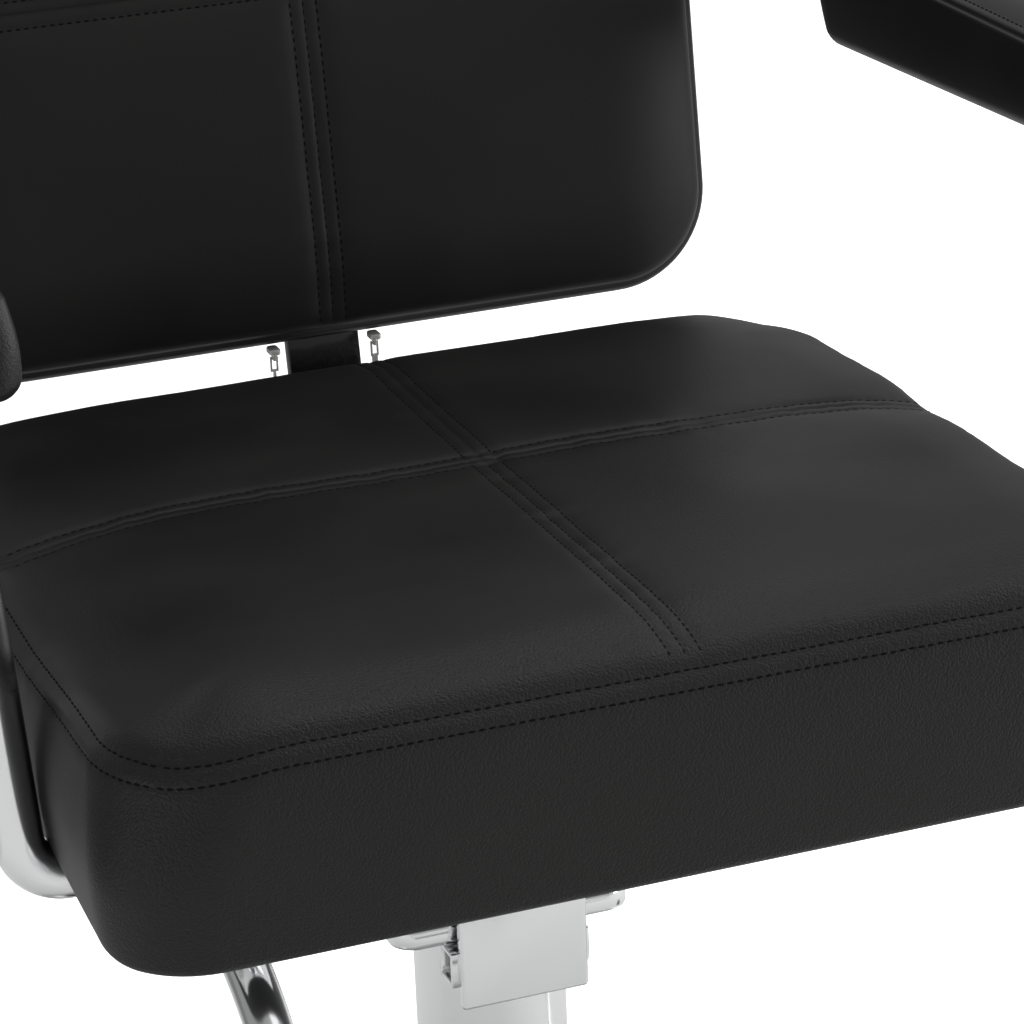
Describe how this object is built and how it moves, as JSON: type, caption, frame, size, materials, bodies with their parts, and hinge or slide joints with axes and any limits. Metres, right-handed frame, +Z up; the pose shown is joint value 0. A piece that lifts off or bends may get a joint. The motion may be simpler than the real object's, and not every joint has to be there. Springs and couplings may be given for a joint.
{
  "type": "hydraulic styling chair",
  "caption": "Salon styling chair: padded seat, back and loop arms on a foot-pumped hydraulic column with a round base and tube footrest.",
  "frame": {"origin": "on the floor at the swivel axis, at the centre of the base disc's underside", "axes": "+Z up; the sitter faces -Y; +X is to the right seen from the front"},
  "size_m": [0.694, 0.8093, 0.9236],
  "materials": {
    "cast_iron": "as cast, painted grey",
    "base_rubber": "matte",
    "chrome": "polished plate",
    "zinc": "bright zinc",
    "pedal_rubber": "ribbed matte",
    "tread_rubber": "ribbed matte",
    "black_paint": "gloss black",
    "plywood": "raw",
    "vinyl": "satin pebble grain"
  },
  "bodies": {
    "base": {"base_disc": "cast_iron", "base_ring": "base_rubber", "base_cover": "chrome", "pump_cylinder": "cast_iron", "pump_cover": "chrome", "pump_collar": "chrome", "pedal_housing": "chrome", "pedal_pin": "zinc"},
    "pedal": {"pedal_lever": "chrome", "pedal_pad": "pedal_rubber"},
    "lift": {"piston": "chrome", "thrust_washer": "zinc"},
    "seat": {"head_plate": "chrome", "front_plate": "chrome", "cross_tube": "chrome", "arm_tube_l": "chrome", "arm_tube_r": "chrome", "foot_tube": "chrome", "foot_bracket_l": "chrome", "foot_bracket_r": "chrome", "head_bolt_1": "zinc", "head_bolt_2": "zinc", "head_bolt_3": "zinc", "head_bolt_4": "zinc", "plate_bolt_1": "zinc", "plate_bolt_2": "zinc", "plate_bolt_3": "zinc", "plate_bolt_4": "zinc", "arm_bolt_l1": "zinc", "arm_bolt_l2": "zinc", "arm_bolt_r1": "zinc", "arm_bolt_r2": "zinc", "arm_rear_bolt_l1": "zinc", "arm_rear_bolt_l2": "zinc", "arm_rear_bolt_r1": "zinc", "arm_rear_bolt_r2": "zinc", "bar_bolt_1": "zinc", "bar_bolt_2": "zinc", "foot_bolt_l1": "zinc", "foot_bolt_l2": "zinc", "foot_bolt_r1": "zinc", "foot_bolt_r2": "zinc", "foot_sleeve": "tread_rubber", "riser_box": "black_paint", "seat_plate": "black_paint", "back_bar": "black_paint", "seat_board": "plywood", "back_board": "plywood", "arm_core_l": "plywood", "arm_core_r": "plywood", "seat_cushion": "vinyl", "back_cushion": "vinyl", "arm_pad_l": "vinyl", "arm_pad_r": "vinyl"},
    "slider_left": {"zip_slider_l": "zinc"},
    "slider_right": {"zip_slider_r": "zinc"},
    "tab_left": {"zip_tab_l": "zinc"},
    "tab_right": {"zip_tab_r": "zinc"}
  },
  "joints": [
    {"name": "pedal_hinge", "type": "hinge", "parent": "base", "child": "pedal", "pos_m": [0.05826, -0.02121, 0.08], "axis": [-0.342, -0.9397, 0], "range_deg": [-14, 0], "stiffness_Nm_per_rad": 8, "springref_deg": 22.92},
    {"name": "lift_slide", "type": "slide", "parent": "base", "child": "lift", "axis": [0, 0, 1], "range_m": [0, 0.13]},
    {"name": "seat_swivel", "type": "hinge", "parent": "lift", "child": "seat", "pos_m": [0, 0, 0.27], "axis": [0, 0, 1], "continuous": true},
    {"name": "zip_left_slide", "type": "slide", "parent": "seat", "child": "slider_left", "axis": [-1, 0, 0], "range_m": [0, 0.14]},
    {"name": "zip_right_slide", "type": "slide", "parent": "seat", "child": "slider_right", "axis": [1, 0, 0], "range_m": [0, 0.14]},
    {"name": "zip_left_tab", "type": "hinge", "parent": "slider_left", "child": "tab_left", "pos_m": [-0.033, 0.23, 0.5067], "axis": [1, 0, 0], "range_deg": [-70, 70]},
    {"name": "zip_right_tab", "type": "hinge", "parent": "slider_right", "child": "tab_right", "pos_m": [0.027, 0.23, 0.5067], "axis": [1, 0, 0], "range_deg": [-70, 70]}
  ]
}
